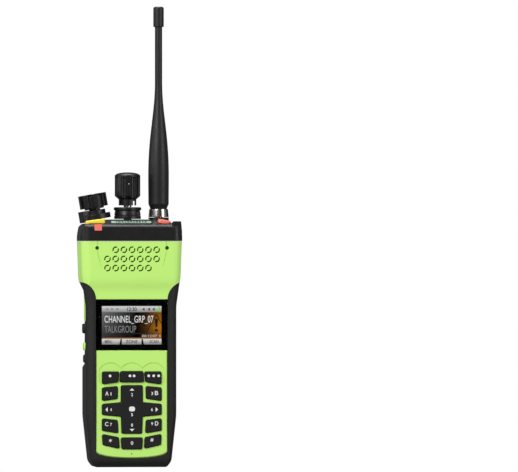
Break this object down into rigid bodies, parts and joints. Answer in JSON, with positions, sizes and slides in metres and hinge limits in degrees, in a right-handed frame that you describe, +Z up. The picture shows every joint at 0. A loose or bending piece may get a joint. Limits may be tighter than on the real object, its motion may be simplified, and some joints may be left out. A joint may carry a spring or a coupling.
{
  "type": "portable radio",
  "caption": "Upright hand-held two-way radio with keypad, colour display, speaker grille, top knobs, side push-to-talk, whip antenna and a slide-off battery pack.",
  "frame": {"origin": "centre of the foot's underside, midway between the front and the battery's back", "axes": "+Z up along the antenna, +Y from the keypad to the battery, +X to the right of someone facing the keypad"},
  "size_m": [0.0758, 0.0492, 0.3403],
  "materials": {
    "hi_vis_shell": "satin moulded plastic, bright yellow-green",
    "grip_black": "matt black overmoulding with a fine grain",
    "case_black": "matt black moulded plastic",
    "knob_black": "matt black soft-touch moulding",
    "key_black": "matt black key caps with white legends",
    "window_glass": "clear window with a black border",
    "screen": "colour display, lit",
    "pale_display": "pale green-white strip display",
    "yellow_plastic": "bright yellow moulded plastic",
    "coral_plastic": "coral red translucent plastic",
    "antenna_black": "black moulded urethane",
    "chrome_ring": "bright chrome",
    "steel": "plain steel",
    "brass_contact": "gold-plated brass",
    "board_green": "solder-masked circuit board",
    "cloth_black": "black speaker cloth",
    "silicone_grey": "grey silicone",
    "cell_wrap": "blue shrink wrap",
    "paper_cone": "black paper cone",
    "screw_black": "blackened steel"
  },
  "bodies": {
    "radio": {"front_housing": "hi_vis_shell", "grip_frame": "grip_black", "rear_chassis": "case_black", "top_bezel": "case_black", "display_glass": "window_glass", "lcd_module": "screen", "top_display": "pale_display", "level_lens": "yellow_plastic", "status_light": "coral_plastic", "microphone": "steel", "keypad_membrane": "silicone_grey", "keypad_board": "board_green", "main_board": "board_green", "shield_can": "steel", "speaker_cloth": "cloth_black", "speaker_frame": "steel", "speaker_cone": "paper_cone", "speaker_magnet": "steel", "body_gasket": "silicone_grey", "chassis_screws": "screw_black", "accessory_cover": "case_black", "cover_screw": "steel", "volume_bush": "knob_black", "antenna_collar": "case_black", "antenna_stud": "brass_contact", "contact_block": "case_black"},
    "nav_plunger": {"nav_plunger": "silicone_grey"},
    "nav_rocker": {"nav_rocker_plate": "steel"},
    "nav_key": {"nav_cross_key": "key_black"},
    "ptt": {"ptt_paddle": "hi_vis_shell"},
    "side_key_upper": {"side_key_upper": "grip_black"},
    "side_key_middle": {"side_key_middle": "hi_vis_shell"},
    "side_key_lower": {"side_key_lower": "grip_black"},
    "emergency_button": {"emergency_button": "coral_plastic"},
    "volume": {"volume_knob": "knob_black", "volume_shaft": "steel"},
    "lever": {"lever_ring": "knob_black"},
    "channel": {"channel_knob": "knob_black", "channel_shaft": "steel"},
    "collar": {"collar_switch": "knob_black"},
    "antenna_core": {"antenna_contact": "brass_contact"},
    "antenna": {"antenna_whip": "antenna_black", "antenna_ring": "chrome_ring", "antenna_tip": "antenna_black"},
    "battery": {"battery_case": "case_black", "battery_lid": "case_black", "battery_contacts": "brass_contact", "battery_cells": "cell_wrap"},
    "latch_left": {"battery_latch_left": "case_black"},
    "latch_right": {"battery_latch_right": "case_black"},
    "key_soft_left": {"key_soft_left": "key_black"},
    "key_soft_middle": {"key_soft_middle": "key_black"},
    "key_soft_right": {"key_soft_right": "key_black"},
    "key_1": {"key_1": "key_black"},
    "key_3": {"key_3": "key_black"},
    "key_7": {"key_7": "key_black"},
    "key_9": {"key_9": "key_black"},
    "key_star": {"key_star": "key_black"},
    "key_0": {"key_0": "key_black"},
    "key_hash": {"key_hash": "key_black"}
  },
  "joints": [
    {"name": "key_soft_left_press", "type": "slide", "parent": "radio", "child": "key_soft_left", "axis": [0, 1, 0], "range_m": [0, 0.0006], "stiffness_N_per_m": 900},
    {"name": "key_soft_middle_press", "type": "slide", "parent": "radio", "child": "key_soft_middle", "axis": [0, 1, 0], "range_m": [0, 0.0006], "stiffness_N_per_m": 900},
    {"name": "key_soft_right_press", "type": "slide", "parent": "radio", "child": "key_soft_right", "axis": [0, 1, 0], "range_m": [0, 0.0006], "stiffness_N_per_m": 900},
    {"name": "key_1_press", "type": "slide", "parent": "radio", "child": "key_1", "axis": [0, 1, 0], "range_m": [0, 0.0006], "stiffness_N_per_m": 900},
    {"name": "key_3_press", "type": "slide", "parent": "radio", "child": "key_3", "axis": [0, 1, 0], "range_m": [0, 0.0006], "stiffness_N_per_m": 900},
    {"name": "key_7_press", "type": "slide", "parent": "radio", "child": "key_7", "axis": [0, 1, 0], "range_m": [0, 0.0006], "stiffness_N_per_m": 900},
    {"name": "key_9_press", "type": "slide", "parent": "radio", "child": "key_9", "axis": [0, 1, 0], "range_m": [0, 0.0006], "stiffness_N_per_m": 900},
    {"name": "key_star_press", "type": "slide", "parent": "radio", "child": "key_star", "axis": [0, 1, 0], "range_m": [0, 0.0006], "stiffness_N_per_m": 900},
    {"name": "key_0_press", "type": "slide", "parent": "radio", "child": "key_0", "axis": [0, 1, 0], "range_m": [0, 0.0006], "stiffness_N_per_m": 900},
    {"name": "key_hash_press", "type": "slide", "parent": "radio", "child": "key_hash", "axis": [0, 1, 0], "range_m": [0, 0.0006], "stiffness_N_per_m": 900},
    {"name": "nav_press", "type": "slide", "parent": "radio", "child": "nav_plunger", "axis": [0, 1, 0], "range_m": [0, 0.0005], "stiffness_N_per_m": 1200},
    {"name": "nav_tilt_up_down", "type": "hinge", "parent": "nav_plunger", "child": "nav_rocker", "pos_m": [0, -0.0192, 0.0427], "axis": [1, 0, 0], "range_deg": [-1.4, 1.4], "stiffness_Nm_per_rad": 0.6},
    {"name": "nav_tilt_left_right", "type": "hinge", "parent": "nav_rocker", "child": "nav_key", "pos_m": [0, -0.0192, 0.0427], "axis": [0, 0, 1], "range_deg": [-1.4, 1.4], "stiffness_Nm_per_rad": 0.6},
    {"name": "ptt_press", "type": "slide", "parent": "radio", "child": "ptt", "axis": [1, 0, 0], "range_m": [0, 0.0012], "stiffness_N_per_m": 1500},
    {"name": "side_key_upper_press", "type": "slide", "parent": "radio", "child": "side_key_upper", "axis": [1, 0, 0], "range_m": [0, 0.0008], "stiffness_N_per_m": 1200},
    {"name": "side_key_middle_press", "type": "slide", "parent": "radio", "child": "side_key_middle", "axis": [1, 0, 0], "range_m": [0, 0.0008], "stiffness_N_per_m": 1200},
    {"name": "side_key_lower_press", "type": "slide", "parent": "radio", "child": "side_key_lower", "axis": [1, 0, 0], "range_m": [0, 0.0008], "stiffness_N_per_m": 1200},
    {"name": "emergency_press", "type": "slide", "parent": "radio", "child": "emergency_button", "axis": [-0.184, 0, -0.9829], "range_m": [0, 0.0007], "stiffness_N_per_m": 1200},
    {"name": "volume_turn", "type": "hinge", "parent": "radio", "child": "volume", "pos_m": [-0.024, -0.0016, 0.1813], "axis": [-0.1736, 0, 0.9848], "range_deg": [-150, 150]},
    {"name": "lever_turn", "type": "hinge", "parent": "radio", "child": "lever", "pos_m": [-0.024, -0.0016, 0.1813], "axis": [-0.1736, 0, 0.9848], "range_deg": [-25, 25]},
    {"name": "channel_turn", "type": "hinge", "parent": "radio", "child": "channel", "pos_m": [-0.001, -0.0016, 0.19], "axis": [0, 0, 1], "range_deg": [-168.75, 168.75]},
    {"name": "collar_turn", "type": "hinge", "parent": "radio", "child": "collar", "pos_m": [-0.001, -0.0016, 0.187], "axis": [0, 0, 1], "range_deg": [-22.5, 22.5]},
    {"name": "antenna_lift", "type": "slide", "parent": "radio", "child": "antenna_core", "axis": [0, 0, 1], "range_m": [0, 0.0028]},
    {"name": "antenna_unscrew", "type": "hinge", "parent": "antenna_core", "child": "antenna", "pos_m": [0.0221, -0.0016, 0.19], "axis": [0, 0, 1], "range_deg": [0, 1440]},
    {"name": "battery_pull", "type": "slide", "parent": "radio", "child": "battery", "axis": [0, 1, 0], "range_m": [0, 0.06]},
    {"name": "latch_left_press", "type": "slide", "parent": "battery", "child": "latch_left", "axis": [1, 0, 0], "range_m": [0, 0.0011], "stiffness_N_per_m": 900},
    {"name": "latch_right_press", "type": "slide", "parent": "battery", "child": "latch_right", "axis": [-1, 0, 0], "range_m": [0, 0.0011], "stiffness_N_per_m": 900}
  ],
  "couplings": [
    {"joint": "antenna_unscrew", "follows": "antenna_lift", "rad_per_m": 8976}
  ]
}
